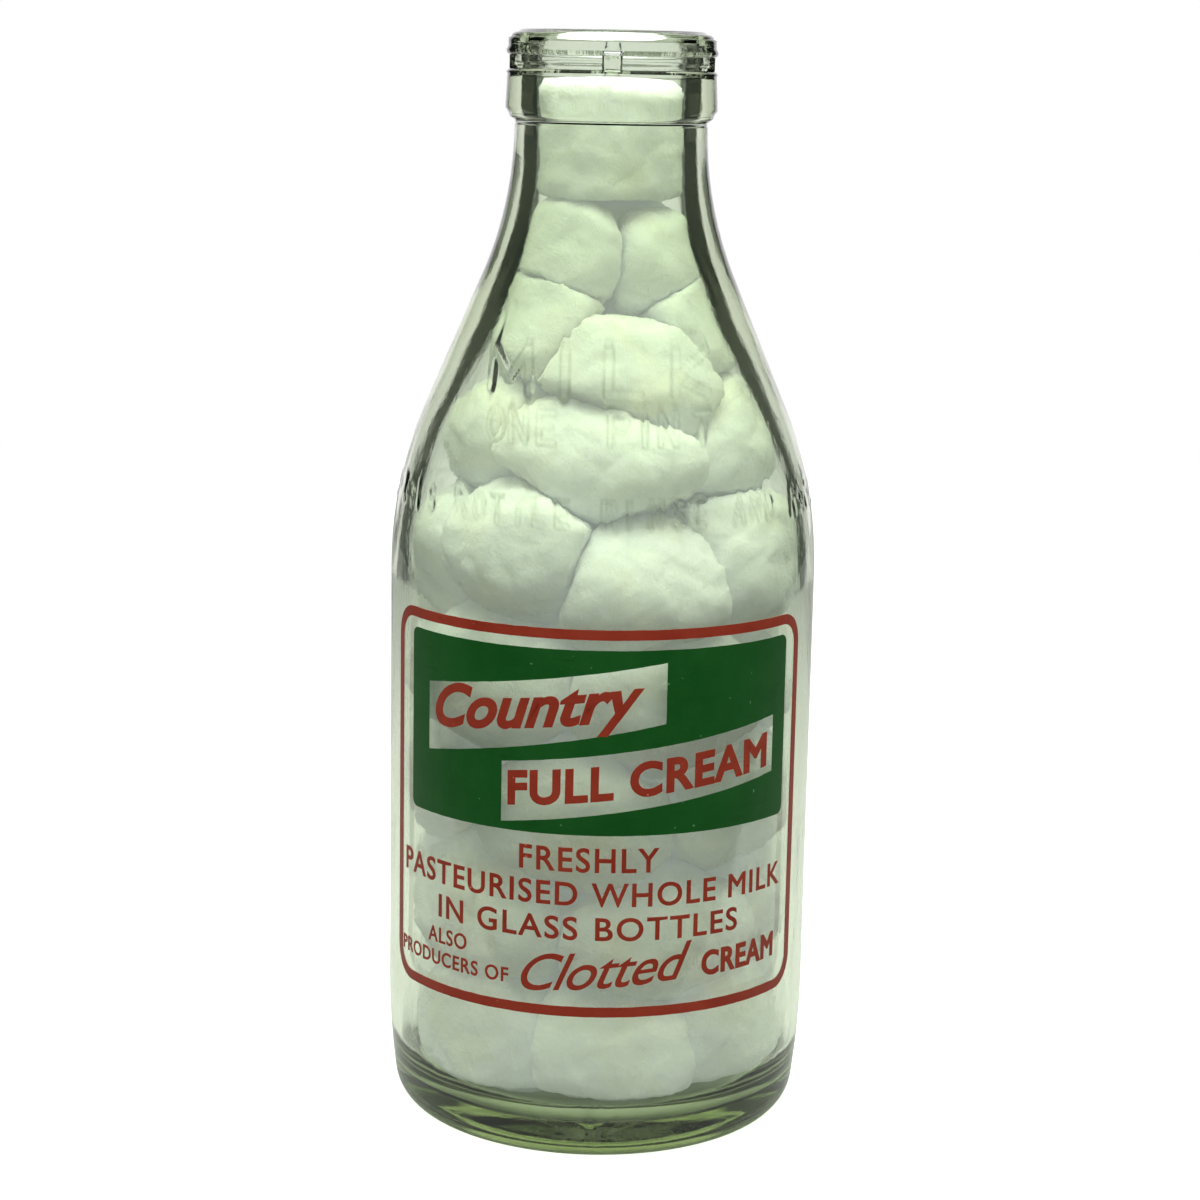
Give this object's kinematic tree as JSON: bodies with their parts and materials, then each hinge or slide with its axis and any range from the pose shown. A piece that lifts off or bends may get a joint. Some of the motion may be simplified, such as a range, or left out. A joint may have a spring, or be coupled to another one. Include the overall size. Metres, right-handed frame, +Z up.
{
  "type": "milk bottle",
  "caption": "One-pint glass milk bottle with a cap bead and ribbed mouth band, a two-colour fired enamel label and a filling of white wool balls held in by a pull-out neck wad.",
  "frame": {"origin": "centre of the standing ring, on the ground", "axes": "+Z up along the bottle's axis, -Y towards the label"},
  "size_m": [0.08, 0.0801, 0.204],
  "materials": {
    "glass": "clear pressed glass with a faint grey-green tint",
    "enamel_red": "fired enamel, semi-gloss",
    "enamel_green": "fired enamel, semi-gloss",
    "wool": "matt white cotton wool"
  },
  "bodies": {
    "bottle": {"glass_bottle": "glass", "enamel_border_red": "enamel_red", "enamel_panel_green": "enamel_green", "wool_ball_01": "wool", "wool_ball_02": "wool", "wool_ball_03": "wool", "wool_ball_04": "wool", "wool_ball_05": "wool", "wool_ball_06": "wool", "wool_ball_07": "wool", "wool_ball_08": "wool", "wool_ball_09": "wool", "wool_ball_10": "wool", "wool_ball_11": "wool", "wool_ball_12": "wool", "wool_ball_13": "wool", "wool_ball_14": "wool", "wool_ball_15": "wool", "wool_ball_16": "wool", "wool_ball_17": "wool", "wool_ball_18": "wool", "wool_ball_19": "wool", "wool_ball_20": "wool", "wool_ball_21": "wool", "wool_ball_22": "wool", "wool_ball_23": "wool", "wool_ball_24": "wool", "wool_ball_25": "wool", "wool_ball_26": "wool", "wool_ball_27": "wool", "wool_ball_28": "wool", "wool_ball_29": "wool", "wool_ball_30": "wool", "wool_ball_31": "wool", "wool_ball_32": "wool", "wool_ball_33": "wool", "wool_ball_34": "wool", "wool_ball_35": "wool", "wool_ball_36": "wool", "wool_ball_37": "wool", "wool_ball_38": "wool", "wool_ball_39": "wool"},
    "wad": {"neck_wad": "wool"}
  },
  "joints": [
    {"name": "wad_pull", "type": "slide", "parent": "bottle", "child": "wad", "axis": [0, 0, 1], "range_m": [0, 0.045]}
  ]
}
